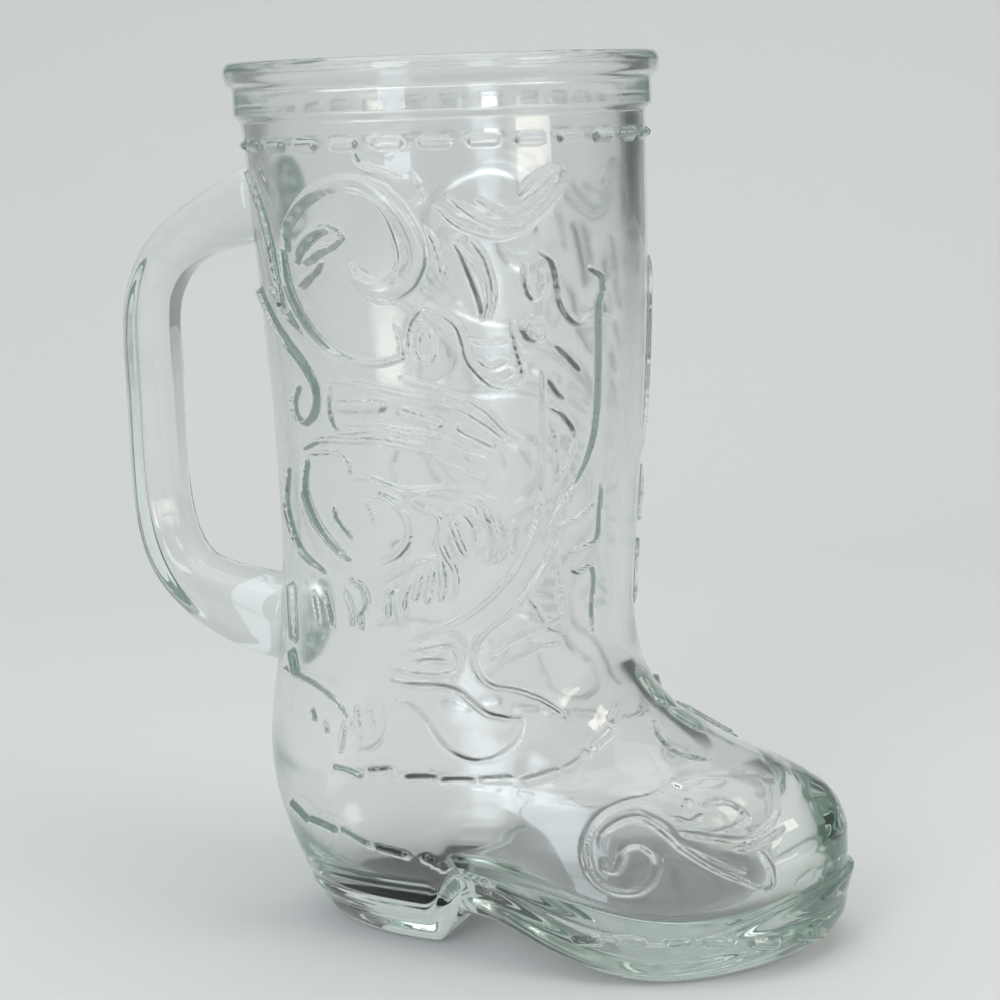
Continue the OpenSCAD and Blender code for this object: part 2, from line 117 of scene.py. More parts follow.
# The handle's run in the plane of the boot: x, z, half thickness, half width
HANDLE_RUN = np.array([
    (-36.5, 153.0, 9.0, 8.7),
    (-45.0, 150.2, 8.0, 8.2),
    (-54.5, 146.6, 6.2, 7.8),
    (-62.5, 141.4, 5.5, 7.6),
    (-67.3, 134.0, 5.2, 7.5),
    (-68.9, 125.0, 5.2, 7.5),
    (-68.9, 109.5, 5.2, 7.5),
    (-68.9, 96.6, 5.2, 7.5),
    (-68.4, 87.0, 5.2, 7.5),
    (-66.4, 78.2, 5.4, 7.6),
    (-62.2, 71.8, 5.9, 7.8),
    (-55.0, 67.4, 7.2, 8.6),
    (-46.0, 64.4, 8.6, 9.3),
    (-36.5, 62.6, 9.0, 9.3),
])
SECTION_POWER = 2.6
HANDLE_SIDES = 72
HANDLE_STEP = 0.9
SEAT_GAP = 0.03
# How far behind the boot a ring stands that isn't part of a seat
SEAT_CLEARANCE = 0.35
# Sizes of the rings that close a seat, as shares of its edge
SEAT_RINGS = (0.75, 0.5, 0.25)

# ---- The meshes, in millimetres ----

# Least gap between the outer skin's rings or columns, to find those that a stroke reaches
SKIN_GAP = 0.22
CAVITY_RING_GAP = 1.2
# Height from which the collar and rim, which hold no relief, need fewer rings
COLLAR_FOOT = 168.0
# Faces of the boot in front of this place along x are never under the handle
SEATS_FRONT = -25.0

GLASS_IOR = 1.48
# Reflections of light inside the glass after which it counts as trapped there, where the glass
# then glows with painted light
TRAPPED_DEPTH = 3.5

# ---- The camera, in millimetres and degrees ----

CAMERA_DISTANCE = 517.5
CAMERA_HEIGHT = 173.0
CAMERA_TURN = 22.0
CAMERA_YAW = -1.01
CAMERA_PITCH = 9.21
CAMERA_ROLL = 1.95
CAMERA_FOCUS_PX = 2529.0
CAMERA_CENTRE_PX = (501.0, 500.0)
PHOTO_PX = 1000
SENSOR_WIDTH = 36.0

# ---- The stage, in metres ----

FLOOR_REACH = 1.8
# The backdrop: where it starts behind the boot, how it curves up, and how far it reaches to
# the left and to the right of the camera's line
SWEEP_START = 0.42
SWEEP_RADIUS = 0.45
SWEEP_HEIGHTS = (0.9, 1.6)
SWEEP_ENDS = (-0.38, 0.34)
DAYLIGHT = (0.80, 0.90, 1.0)
WARM_LIGHT = (1.0, 0.93, 0.80)
WHITE_LIGHT = (1.0, 1.0, 1.0)
# name, azimuth from the camera's side, elevation, distance, width, height, power, colour
LIGHTS = [
    ("window_left", -27.0, 28.0, 1.1, 0.34, 0.62, 3.0, DAYLIGHT),
    ("window_right", 54.0, 30.0, 1.1, 0.42, 0.26, 2.4, WARM_LIGHT),
    ("window_left_low", -27.0, 5.5, 1.1, 0.28, 0.20, 0.9, DAYLIGHT),
    ("window_right_low", 50.0, 1.5, 1.1, 0.40, 0.08, 0.6, WARM_LIGHT),
    ("softbox_top", 0.0, 88.0, 1.3, 1.4, 1.4, 7.6, WHITE_LIGHT),
]
# Height of the point that the lamps look at
LIT_HEIGHT = 0.09

# ---- The relief, drawn in pixels of the photograph ----
# Each stroke: kind, width or widths in pixels along it, points. A "line" has a rounded
# back, a "band" a nearly flat one, a "dash" is a stitch.

MM_PER_PX = 0.2
PATH_STEP_PX = 3.0

LEG_STROKES = [
    ("band", (8, 10, 12, 14, 16, 18, 20, 24, 28, 30, 30, 28, 26, 24, 20, 12, 5),
     [(288, 248), (287, 230), (294, 212), (308, 197), (328, 186), (350, 183), (372, 190),
      (390, 206), (402, 224), (410, 244), (412, 262), (406, 278), (394, 288), (380, 291),
      (367, 286), (356, 275), (352, 264)]),
    ("band", (6, 14, 14, 10, 3), [(298, 262), (303, 245), (315, 232), (330, 228), (343, 236)]),
    ("band", (8, 12, 12, 8, 3), [(306, 262), (314, 256), (321, 250), (332, 246), (343, 238)]),
    ("band", (10, 10, 8, 4), [(303, 285), (310, 277), (318, 270), (322, 262)]),
    ("band", (10, 12, 14, 14, 14, 12, 10, 8, 5),
     [(284, 252), (287, 275), (293, 297), (303, 318), (317, 338), (335, 353), (356, 361),
      (380, 363), (402, 358)]),
    ("line", (5, 5, 4), [(402, 358), (401, 340), (396, 326)]),
    ("band", (6, 9, 10, 10, 9, 7, 4),
     [(250, 172), (258, 195), (266, 220), (272, 245), (277, 270), (282, 295), (284, 308)]),
    ("band", (8, 10, 12, 12, 12, 10, 8, 6, 5, 4),
     [(262, 290), (275, 320), (290, 345), (305, 365), (317, 390), (316, 410), (306, 422),
      (298, 416), (296, 400), (300, 388)]),
    ("band", (10, 14, 12, 4), [(290, 316), (303, 330), (318, 344), (332, 352)]),
    ("line", 7,
     [(407, 352), (407, 332), (412, 317), (424, 306), (440, 312), (457, 325), (464, 342),
      (468, 358), (478, 372), (492, 384), (508, 386), (520, 380)]),
    ("line", 5,
     [(424, 325), (418, 340), (420, 355), (428, 362), (434, 352), (432, 335), (424, 325)]),
    ("line", 5, [(470, 340), (485, 343), (508, 340)]),
    ("line", 5, [(478, 360), (490, 366), (505, 360)]),
    ("line", 5, [(480, 372), (497, 378), (512, 371)]),
    ("line", 5, [(428, 228), (436, 245), (441, 262), (444, 280)]),
    ("band", (5, 14, 18, 12, 4), [(456, 244), (468, 262), (478, 282), (483, 305), (482, 318)]),
    ("line", 5, [(472, 240), (485, 258), (492, 280), (493, 300), (489, 318)]),
    ("line", 8,
     [(438, 208), (455, 222), (478, 232), (500, 236), (522, 228), (545, 208), (560, 188),
      (564, 170)]),
    ("line", 6, [(450, 197), (470, 213), (492, 223), (512, 226), (528, 218)]),
    ("band", (4, 8, 10, 12, 10, 5),
     [(478, 200), (495, 208), (512, 212), (530, 205), (545, 190), (555, 178)]),
    ("line", 8, [(520, 195), (530, 182), (545, 172), (556, 168)]),
    ("line", 5, [(525, 265), (526, 285), (532, 298), (540, 292), (541, 270)]),
    ("line", 6,
     [(540, 252), (552, 262), (557, 285), (560, 303), (570, 318), (581, 323), (590, 314)]),
    ("line", 5, [(512, 322), (516, 345), (522, 368), (523, 380)]),
    ("band", (24, 26, 24), [(530, 328), (533, 330), (536, 332)]),
    ("line", 6,
     [(543, 372), (543, 420), (542, 470), (540, 505), (531, 538), (516, 568), (495, 593),
      (470, 614), (440, 630), (412, 642)]),
    ("line", 6,
     [(552, 545), (540, 570), (525, 595), (505, 617), (485, 632), (475, 648), (474, 662),
      (480, 676), (492, 686), (515, 690), (538, 698), (555, 708), (568, 719)]),
    ("line", (3, 8, 8, 4), [(556, 542), (548, 560), (538, 578), (526, 594)]),
    ("line", 8,
     [(590, 268), (601, 275), (602, 290), (598, 305), (598, 350), (597, 395), (594, 430),
      (586, 460), (573, 486), (557, 510), (547, 530)]),
    ("line", 6, [(556, 344), (568, 356), (580, 370)]),
    ("line", 6, [(547, 375), (556, 390), (565, 398)]),
    ("line", 5, [(550, 407), (563, 414), (574, 432), (573, 450), (563, 470), (557, 480)]),
    ("line", 4, [(550, 420), (556, 440), (558, 475)]),
    ("line", 5, [(601, 483), (599, 510), (596, 538), (585, 546), (568, 552)]),
    ("line", 4, [(553, 530), (568, 522), (585, 512), (596, 500)]),
    ("line", 5,
     [(570, 560), (573, 570), (580, 571), (590, 565), (593, 580), (591, 605), (592, 630)]),
    ("line", 5,
     [(556, 545), (558, 570), (561, 595), (561, 615), (548, 625), (530, 632), (510, 642),
      (494, 654)]),
    ("line", 5, [(506, 662), (525, 655), (542, 646), (560, 642)]),
    ("line", 4, [(528, 598), (536, 606), (541, 616), (549, 627), (566, 632)]),
    ("line", 4, [(353, 153), (360, 164), (380, 170), (400, 177)]),
    ("line", 4, [(413, 172), (422, 195), (413, 205)]),
]
STRAP_STROKES = [
    ("line", 6,
     [(330, 380), (350, 382), (380, 388), (410, 394), (440, 400), (465, 410), (487, 424),
      (505, 438)]),
    ("line", 4, [(400, 378), (430, 386), (460, 396), (485, 410), (505, 430), (520, 440)]),
    ("line", 5, [(330, 385), (329, 405), (334, 425), (342, 432), (370, 430)]),
    ("band", 16, [(342, 406), (380, 406)]),
    ("band", 12, [(402, 412), (438, 424)]),
    ("band", 10, [(460, 428), (492, 444)]),
    ("line", 5, [(345, 424), (375, 425), (405, 432), (440, 436), (470, 450), (488, 455)]),
    ("line", 7,
     [(305, 448), (320, 440), (350, 440), (380, 441), (410, 447), (435, 454), (460, 464),
      (485, 476)]),
    ("line", 4, [(308, 453), (330, 452), (342, 455), (349, 465), (350, 475)]),
    ("line", 5,
     [(352, 478), (370, 478), (385, 484), (402, 490), (425, 490), (450, 488), (475, 492),
      (497, 500)]),
    ("line", 5, [(410, 499), (412, 495), (430, 493), (455, 497), (475, 505), (480, 515)]),
    ("line", 8,
     [(367, 494), (385, 497), (400, 508), (408, 523), (408, 540), (398, 554), (385, 562)]),
    ("line", 6, [(334, 505), (337, 518), (345, 530), (352, 538)]),
    ("band", (6, 12, 16, 18, 14, 5),
     [(308, 462), (306, 485), (310, 508), (320, 530), (335, 548), (350, 560)]),
    ("line", 8, [(290, 470), (288, 500), (294, 530), (305, 555), (325, 572)]),
    ("line", 4, [(364, 502), (370, 512), (374, 525)]),
    ("line", 6,
     [(428, 508), (440, 520), (441, 540), (446, 555), (455, 570), (456, 590), (450, 600)]),
    ("line", 5, [(448, 512), (462, 512), (474, 525), (478, 542)]),
    ("line", 7, [(452, 520), (458, 538), (466, 556)]),
    ("line", 7, [(485, 508), (492, 525), (495, 545), (490, 560)]),
    ("line", 6, [(500, 515), (506, 535), (503, 552), (496, 563)]),
    ("line", 7, [(388, 618), (387, 605), (392, 590)]),
    ("line", 7, [(403, 612), (404, 596), (410, 585)]),
    ("line", 8, [(415, 600), (418, 585), (421, 575)]),
    ("line", 8, [(427, 603), (430, 585), (433, 570)]),
    ("line", 8, [(441, 600), (443, 580), (440, 560)]),
    ("line", 4, [(381, 583), (400, 573), (420, 562), (437, 557)]),
    ("line", 8, [(350, 580), (362, 588), (366, 600), (360, 614), (362, 628)]),
    ("line", 6, [(345, 592), (352, 610), (352, 625)]),
    ("line", 6, [(314, 592), (318, 610), (320, 625)]),
    ("line", 6, [(325, 590), (330, 608), (333, 625)]),
    ("band", 18, [(293, 590), (295, 634)]),
    ("band", 16, [(294, 655), (296, 668)]),
    ("line", 6, [(285, 668), (300, 676), (318, 686), (335, 700), (346, 714), (355, 735)]),
    ("line", 5, [(313, 708), (316, 720)]),
    ("line", 5, [(326, 720), (328, 732)]),
    ("line", 7, [(345, 722), (341, 752)]),
    ("line", 8, [(357, 706), (361, 738)]),
    ("line", 6, [(369, 708), (376, 732)]),
    ("line", 4, [(385, 705), (388, 720), (385, 735), (375, 747), (360, 750)]),
]
FOOT_STROKES = [
    ("line", 5,
     [(402, 653), (425, 650), (448, 646), (458, 655), (458, 668), (445, 674), (420, 674),
      (392, 669)]),
    ("line", 6, [(415, 662), (435, 660), (447, 662)]),
    ("line", 7,
     [(392, 681), (415, 685), (440, 686), (458, 691), (472, 702), (486, 713), (505, 718),
      (523, 719)]),
    ("line", 5,
     [(396, 700), (412, 706), (426, 720), (438, 738), (452, 752), (470, 760), (492, 759),
      (510, 748), (520, 735), (524, 722)]),
    ("line", 7,
     [(665, 790), (650, 797), (625, 803), (605, 812), (592, 826), (585, 845), (587, 865),
      (597, 882), (615, 892), (635, 893), (650, 885), (658, 870), (655, 855), (645, 847),
      (634, 845), (624, 850), (622, 862), (615, 873), (605, 870), (602, 860)]),
    ("line", 6,
     [(603, 850), (603, 835), (620, 822), (640, 818), (655, 825), (668, 835), (682, 848),
      (710, 866), (740, 880), (757, 888)]),
    ("line", 6, [(640, 812), (665, 826), (680, 842), (705, 855), (745, 872)]),
    ("line", 5,
     [(702, 805), (715, 801), (730, 803), (743, 812), (745, 820), (730, 829), (712, 834)]),
    ("line", 5, [(675, 818), (690, 823), (702, 815)]),
    ("line", 6, [(682, 808), (690, 800)]),
    ("line", 6, [(680, 833), (710, 838), (735, 841), (755, 837), (770, 825), (778, 812)]),
    ("line", 6, [(735, 849), (750, 848), (768, 838), (783, 828)]),
    ("line", 5, [(760, 852), (770, 868), (772, 885), (764, 891)]),
    ("line", 5, [(665, 790), (672, 784), (685, 790)]),
    ("line", 4, [(655, 722), (660, 737), (672, 750), (690, 757), (710, 758)]),
]
SEAM_DASHES = [
    [(337, 768), (349, 771), (360, 776)], [(372, 771), (391, 770)], [(409, 778), (434, 778)],
    [(444, 781), (471, 781)], [(484, 780), (511, 779)], [(526, 781), (542, 777), (556, 772)],
    [(567, 769), (577, 763), (585, 754)], [(593, 746), (601, 739), (608, 731)],
    [(613, 720), (619, 705)],
    [(294, 804), (307, 818)], [(313, 820), (334, 829)], [(345, 831), (369, 845)],
    [(380, 848), (405, 855)], [(425, 858), (445, 868)], [(463, 871), (484, 882)],
]
WELT_DASHES = [(588, 941), (631, 941), (680, 943), (719, 942), (765, 943), (810, 935)]
WELT_DASH_HALF_PX = 11

# ---- The stitches and the vamp's bumps, in millimetres ----

SEAM_DASH_RADIUS = 0.9
COLLAR_DASHES = 28
COLLAR_DASH_HEIGHT = 163.6
COLLAR_DASH_LENGTH = 6.3
COLLAR_DASH_WIDTH = 2.0
COLLAR_RADIUS = 40.9
# Raised bumps down the middle of the vamp: x from the leg's axis, half their length, their
# radius, and the heights between which the vamp lies
VAMP_BUMPS = [41.0, 48.5]
BUMP_REACH = 1.6
BUMP_RADIUS = 2.2
VAMP_HEIGHTS = (30, 62)


def eased(a, b, v):
    t = np.clip((v - a) / (b - a), 0.0, 1.0)
    return t * t * (3 - 2 * t)


def curve_through(rows, at):
    """Smooth curve through each column of rows, over the first, without overshoot."""
    z = rows[:, 0]
    steps = np.diff(z)[:, None]
    chords = np.diff(rows, axis=0) / steps
    slopes = np.zeros_like(rows)
    slopes[0], slopes[-1] = chords[0], chords[-1]
    before, after = chords[:-1], chords[1:]
    p, q = steps[:-1], steps[1:]
    same = before * after > 0
    safe_before = np.where(same, before, 1.0)
    safe_after = np.where(same, after, 1.0)
    mean = 3 * (p + q) / ((2 * q + p) / safe_before + (q + 2 * p) / safe_after)
    slopes[1:-1] = np.where(same, mean, 0.0)
    at = np.clip(at, z[0], z[-1])
    i = np.clip(np.searchsorted(z, at, side="right") - 1, 0, len(z) - 2)
    h = steps[i]
    t = ((at - z[i]) / steps[i, 0])[:, None]
    return ((2 * t + 1) * (1 - t) ** 2 * rows[i] + t * (1 - t) ** 2 * h * slopes[i]
            + t * t * (3 - 2 * t) * rows[i + 1] + t * t * (t - 1) * h * slopes[i + 1])


def skin_points(rows, heights, turns):
    """Points of a skin in mm from the leg's axis: rings at heights, at turns from the back."""
    row = curve_through(rows, heights)
    back, front = row[:, 1:2], row[:, 2:3]
    cos, sin = np.cos(turns)[None, :], np.sin(turns)[None, :]
    x = (back + front) / 2 - (front - back) / 2 * cos
    ball = eased(*WIDENING, x)
    half = row[:, 3:4] * (1 - ball) + row[:, 4:5] * ball
    half = half - row[:, 5:6] * np.exp(-((x - WAIST_MIDDLE) / WAIST_REACH) ** 2)
    arch = eased(*ARCH_BACK, x) * (1 - eased(*ARCH_FRONT, x))
    tip = eased(*TOE_RISE, x)
    z = np.asarray(heights)[:, None] + row[:, 6:7] * arch + row[:, 7:8] * tip
    return np.stack([x, half * sin, z], -1)


def cavity_rows():
    """Levels of the hollow, in the columns of OUTER_LEVELS."""
    def inset(z, extra):
        row = curve_through(OUTER_LEVELS, np.array([z]))[0]
        share = np.interp(z, *zip(*TOE_SHARES))
        toe = WALL + (TOE_WALL - WALL) * share + extra
        side = WALL + extra
        tip = FLOOR_TOE_SHARE + (1 - FLOOR_TOE_SHARE) * eased(FLOOR, FULL_TOE_HEIGHT, z)
        return (z, row[1] + side, row[2] - toe, row[3] - side, row[4] - side, row[5], row[6],
                row[7] * tip)
    rows = [inset(FLOOR + FLOOR_ROUND * up, FLOOR_ROUND * off) for up, off in ROUND_SHARES]
    rows += [inset(z, 0.0) for z in CAVITY_HEIGHTS if z > rows[-1][0]]
    for z, opening in MOUTH_OPENING:
        r = MOUTH_RADIUS + opening
        rows.append((z, -r, r, r, r, 0.0, 0.0, 0.0))
    return np.array(rows)


def grid_normals(points):
    """Outward unit normals of a skin's grid that runs round and upwards."""
    across = np.roll(points, -1, axis=1) - np.roll(points, 1, axis=1)
    up = np.gradient(points, axis=0)
    out = np.cross(up, across)
    return out / np.maximum(np.linalg.norm(out, axis=-1, keepdims=True), 1e-9)


def level_axes():
    """Which way is right and which away from the camera, in the plane of the floor."""
    head = math.radians(CAMERA_TURN + CAMERA_YAW)
    return (np.array([math.cos(head), math.sin(head)]),
            np.array([-math.sin(head), math.cos(head)]))


def camera_frame():
    """Place and axes (right, up, forward) of the camera, in mm from the leg's axis."""
    turn = math.radians(CAMERA_TURN)
    place = np.array([CAMERA_DISTANCE * math.sin(turn), -CAMERA_DISTANCE * math.cos(turn),
                      CAMERA_HEIGHT])
    right, level = (np.append(axis, 0.0) for axis in level_axes())
    plumb = np.array([0.0, 0.0, 1.0])
    pitch, roll = math.radians(-CAMERA_PITCH), math.radians(CAMERA_ROLL)
    forward = level * math.cos(pitch) + plumb * math.sin(pitch)
    up = plumb * math.cos(pitch) - level * math.sin(pitch)
    return (place, right * math.cos(roll) - up * math.sin(roll),
            up * math.cos(roll) + right * math.sin(roll), forward)


def to_pixels(points):
    """Where points in mm from the leg's axis lie in the photograph."""
    place, right, up, forward = camera_frame()
    away = points - place
    depth = away @ forward
    return np.stack([CAMERA_CENTRE_PX[0] + CAMERA_FOCUS_PX * (away @ right) / depth,
                     CAMERA_CENTRE_PX[1] - CAMERA_FOCUS_PX * (away @ up) / depth], -1)


def smooth_path(points, step):
    """Even points along a smooth curve through the given ones, and their run in 0 to 1."""
    p = np.array(points, float)
    if len(p) > 2:
        ends = np.vstack([2 * p[0] - p[1], p, 2 * p[-1] - p[-2]])
        fine = []
        for a, b, c, d in zip(ends[:-3], ends[1:-2], ends[2:-1], ends[3:]):
            t = np.linspace(0, 1, 9)[:-1, None]
            fine.append(0.5 * (2 * b + (c - a) * t + (2 * a - 5 * b + 4 * c - d) * t ** 2
                               + (3 * b - a - 3 * c + d) * t ** 3))
        fine = np.vstack(fine + [p[-1:]])
        shares = np.linspace(0, 1, len(fine))
    else:
        fine, shares = p, np.array([0.0, 1.0])
    run = np.concatenate([[0], np.cumsum(np.linalg.norm(np.diff(fine, axis=0), axis=1))])
    count = max(2, int(round(run[-1] / step)) + 1)
    at = np.linspace(0, run[-1], count)
    even = np.stack([np.interp(at, run, fine[:, k]) for k in range(fine.shape[1])], -1)
    return even, np.interp(at, run, shares)


class ReliefField:
    """Heights of the ornament over the near half of the skin, spread to both halves."""

    def __init__(self, skin):
        self.skin = skin
        self.rows, self.columns = skin.shape[:2]
        self.half = self.columns // 2
        self.height = np.zeros((self.rows, self.half + 1))
        # columns from the back, along the near side (y < 0), to the front
        near = np.arange(self.columns, self.half - 1, -1) % self.columns
        self.base = skin[:, near]
        # what the camera sees, without a part of the far side and the underside
        to_camera = camera_frame()[0] - skin
        facing = np.einsum("ijk,ijk->ij", grid_normals(skin), to_camera) > 0
        facing &= (skin[..., 1] < 12.0) & (skin[..., 2] > 0.3)
        rows, columns = np.nonzero(facing)
        self.seen = (rows, columns)
        self.tree = KDTree(len(rows))
        for k, (x, y) in enumerate(to_pixels(skin[rows, columns])):
            self.tree.insert((x, y, 0.0), k)
        self.tree.balance()

    def on_skin(self, pixels):
        """Place, row and column on the near half for points drawn in pixels."""
        out = []
        for x, y in pixels:
            found = self.tree.find_n((x, y, 0.0), 4)
            # the 0.15 pixels keep a direct hit from dividing by nothing
            weights = np.array([1 / (f[2] + 0.15) for f in found])
            ids = [f[1] for f in found]
            p = self.skin[self.seen[0][ids], self.seen[1][ids]]
            q = (p * weights[:, None]).sum(0) / weights.sum()
            row = int(round(float((self.seen[0][ids] * weights).sum() / weights.sum())))
            column = int(self.seen[1][ids[0]])
            if column < self.half:
                column = self.columns - column
                q = q * (1, -1, 1)
            out.append((q, row, self.columns - column))
        return out

    def stroke(self, kind, rise, radii, places):
        """Raises a stroke by rise, with the given half widths, all in mm, through places on
        the skin."""
        marks = [(*place, radius) for place, radius in zip(places, radii)]
        for (a, row_a, col_a, ra), (b, row_b, col_b, rb) in zip(marks[:-1], marks[1:]):
            off = int((max(ra, rb) + 0.6) / SKIN_GAP) + 3
            r0, r1 = max(0, min(row_a, row_b) - off), max(row_a, row_b) + off
            c0, c1 = max(0, min(col_a, col_b) - off), max(col_a, col_b) + off
            patch = self.base[r0:r1, c0:c1]
            along = b - a
            size = float(along @ along)
            t = np.zeros(patch.shape[:2])
            if size > 1e-9:
                t = np.clip(((patch - a) @ along) / size, 0, 1)
            away = np.linalg.norm(patch - (a + t[..., None] * along), axis=-1)
            radius = ra + (rb - ra) * t
            # 1 in the stroke's middle, 0 at its edge
            dome = np.clip(1 - (away / np.maximum(radius, 0.1)) ** 2, 0, 1)
            if kind == "band":
                edge = eased(0.0, 1.0, (radius - away) / np.minimum(radius, 0.9))
                profile = edge * (0.62 + 0.5 * dome)
            elif kind == "dash":
                profile = 1.1 * np.sqrt(dome) ** 1.2
            else:
                # a fine line is lower too
                profile = 0.95 * dome ** 0.85 * np.minimum(1.0, 0.45 + radius * 0.75)
            cell = self.height[r0:r1, c0:c1]
            np.maximum(cell, profile * rise, out=cell)

    def draw(self, rise, strokes):
        for kind, widths, points in strokes:
            pixels, shares = smooth_path(points, PATH_STEP_PX)
            widths = np.atleast_1d(widths)
            widths = np.interp(shares, np.linspace(0, 1, len(widths)), widths)
            if kind == "line":
                # a line thins out at its ends
                run = np.linspace(0, 1, len(pixels))
                widths = widths * (0.45 + 0.55 * np.clip(np.minimum(run, 1 - run) * 6, 0, 1))
            self.stroke(kind, rise, widths / 2 * MM_PER_PX, self.on_skin(pixels))

    def stitch(self, rise, points):
        """Raises one stitch of a seam, drawn in pixels."""
        places = self.on_skin(smooth_path(points, PATH_STEP_PX)[0])
        self.stroke("dash", rise, np.full(len(places), SEAM_DASH_RADIUS), places)

    def whole(self):
        """The heights over the whole skin, the far half as a mirror of the near one."""
        out = np.zeros((self.rows, self.columns))
        near = np.arange(self.half + 1)
        out[:, (self.columns - near) % self.columns] = self.height
        out[:, near] = np.maximum(out[:, near], self.height)
        return out


def rings_between(levels, gap, plain_from=BOOT_HEIGHT):
    """Heights of a skin's rings: its levels and even steps of about a gap between them,
    with fewer rings from where the skin is plain."""
    out = []
    for low, high in zip(levels[:-1], levels[1:]):
        steps = max(2, int(math.ceil((high - low) / gap)))
        if low >= plain_from:
            steps = max(3, steps // 2 + 2)
        out += list(low + (high - low) * np.arange(steps) / steps)
    return np.array(out + [levels[-1]])


def grid_mesh(name, points, faces):
    """A smooth piece from points in metres and lists of faces with equal corners each."""
    mesh = bpy.data.meshes.new(name)
    mesh.vertices.add(len(points))
    mesh.vertices.foreach_set("co", np.asarray(points, np.float32).ravel())
    faces = [np.asarray(f, np.int32) for f in faces if len(f)]
    loops = np.concatenate([f.ravel() for f in faces])
    totals = np.concatenate([np.full(len(f), f.shape[1], np.int32) for f in faces])
    starts = np.concatenate([[0], np.cumsum(totals)[:-1]]).astype(np.int32)
    mesh.loops.add(len(loops))
    mesh.loops.foreach_set("vertex_index", loops)
    mesh.polygons.add(len(totals))
    mesh.polygons.foreach_set("loop_start", starts)
    mesh.polygons.foreach_set("loop_total", totals)
    mesh.polygons.foreach_set("use_smooth", np.ones(len(totals), bool))
    mesh.update(calc_edges=True)
    mesh.validate()
    return linked(name, mesh)


def linked(name, data):
    """A new object of the scene that shows the given data."""
    piece = bpy.data.objects.new(name, data)
    bpy.context.scene.collection.objects.link(piece)
    return piece


def aim(piece, right, up, back, place):
    """Stands a lamp or camera at a place, by its own three axes."""
    turn = np.stack([right, up, back], 1)
    piece.matrix_world = Matrix([(*row, p) for row, p in zip(turn, place)] + [(0, 0, 0, 1)])


def tube_faces(rings, sides):
    """Quads of a skin whose rings run round anticlockwise, seen from above, and up."""
    i, j = np.meshgrid(np.arange(rings - 1), np.arange(sides), indexing="ij")
    a, b = i * sides + j, i * sides + (j + 1) % sides
    return np.stack([a, a + sides, b + sides, b], -1).reshape(-1, 4)


def strip_faces(ring_start, sides, upwards):
    """Closes a ring with strips from side to side."""
    half = sides // 2
    j = np.arange(1, half - 1)
    a, b = ring_start + j, ring_start + j + 1
    c, d = ring_start + sides - j, ring_start + sides - j - 1
    quads = np.stack([a, b, d, c], -1)
    ends = np.array([[ring_start, ring_start + 1, ring_start + sides - 1],
                     [ring_start + half - 1, ring_start + half, ring_start + half + 1]])
    if upwards:
        return quads[:, ::-1], ends[:, ::-1]
    return quads, ends


def in_frame(points):
    """From mm from the leg's axis to metres in the object's frame."""
    return (np.asarray(points) - (MIDDLE_X, 0, 0)) * MM


def back_of_boot(y, z):
    """How far back the boot's skin lies at a width and a height, in mm."""
    rows = curve_through(OUTER_LEVELS, np.ravel(z)).reshape(*np.shape(z), 8)
    back, front, half = rows[..., 1], rows[..., 2], rows[..., 3]
    middle, reach = (back + front) / 2, (front - back) / 2
    return middle - reach * np.sqrt(np.clip(1 - (y / half) ** 2, 0, 1))


def seated(ring):
    """A ring moved along x onto the handle's seat on the boot."""
    ring = ring.copy()
    ring[:, 0] = back_of_boot(ring[:, 1], ring[:, 2]) - SEAT_GAP
    return ring


def handle_rings():
    """The handle's rings in mm: the two on the boot, and those between them."""
    run, _ = smooth_path(HANDLE_RUN, HANDLE_STEP)
    along = np.gradient(run[:, :2], axis=0)
    along /= np.linalg.norm(along, axis=1, keepdims=True)
    turn = np.arange(HANDLE_SIDES) / HANDLE_SIDES * 2 * np.pi
    power = 2 / SECTION_POWER
    thick = np.sign(np.cos(turn)) * abs(np.cos(turn)) ** power
    wide = np.sign(np.sin(turn)) * abs(np.sin(turn)) ** power
    points = np.zeros((len(run), HANDLE_SIDES, 3))
    for k, (x, z, half_thick, half_wide) in enumerate(run):
        out = half_thick * thick
        points[k, :, 0] = x + along[k, 1] * out
        points[k, :, 2] = z - along[k, 0] * out
        points[k, :, 1] = half_wide * wide
    seat = back_of_boot(points[..., 1], points[..., 2]) - SEAT_GAP
    outside = (points[..., 0] < seat - SEAT_CLEARANCE).all(1)
    first, last = np.nonzero(outside)[0][[0, -1]]
    ends = []
    for edge in (first, last):
        # the seat is reached along the run
        ring = points[edge].copy()
        step = along[edge] * (-1 if edge == first else 1)
        slide = seated(ring)[:, 0] - ring[:, 0]
        ring[:, 2] += slide * step[1] / max(step[0], 0.3)
        ends.append(seated(ring))
    return ends, points[first:last + 1]


def seat_faces(skin, walls):
    """Which faces of the boot's outside lie wholly under the handle's two ends."""
    flat = skin.reshape(-1, 3)
    behind = np.nonzero(flat[walls[:, 0], 0] < SEATS_FRONT)[0]
    corners = flat[walls[behind]][..., 1:]
    under = np.zeros(len(walls), bool)
    for ring in handle_rings()[0]:
        y, z = ring[:, 1], ring[:, 2]
        y_next, z_next = np.roll(y, -1), np.roll(z, -1)
        py, pz = corners[..., 0, None], corners[..., 1, None]
        cross = (z > pz) != (z_next > pz)
        rise = np.where(z_next == z, 1.0, z_next - z)
        inside = (cross & (py < y + (pz - z) / rise * (y_next - y))).sum(-1) % 2 == 1
        under[behind] |= inside.all(1)
    return under


# ---- Shader maths as expressions ----

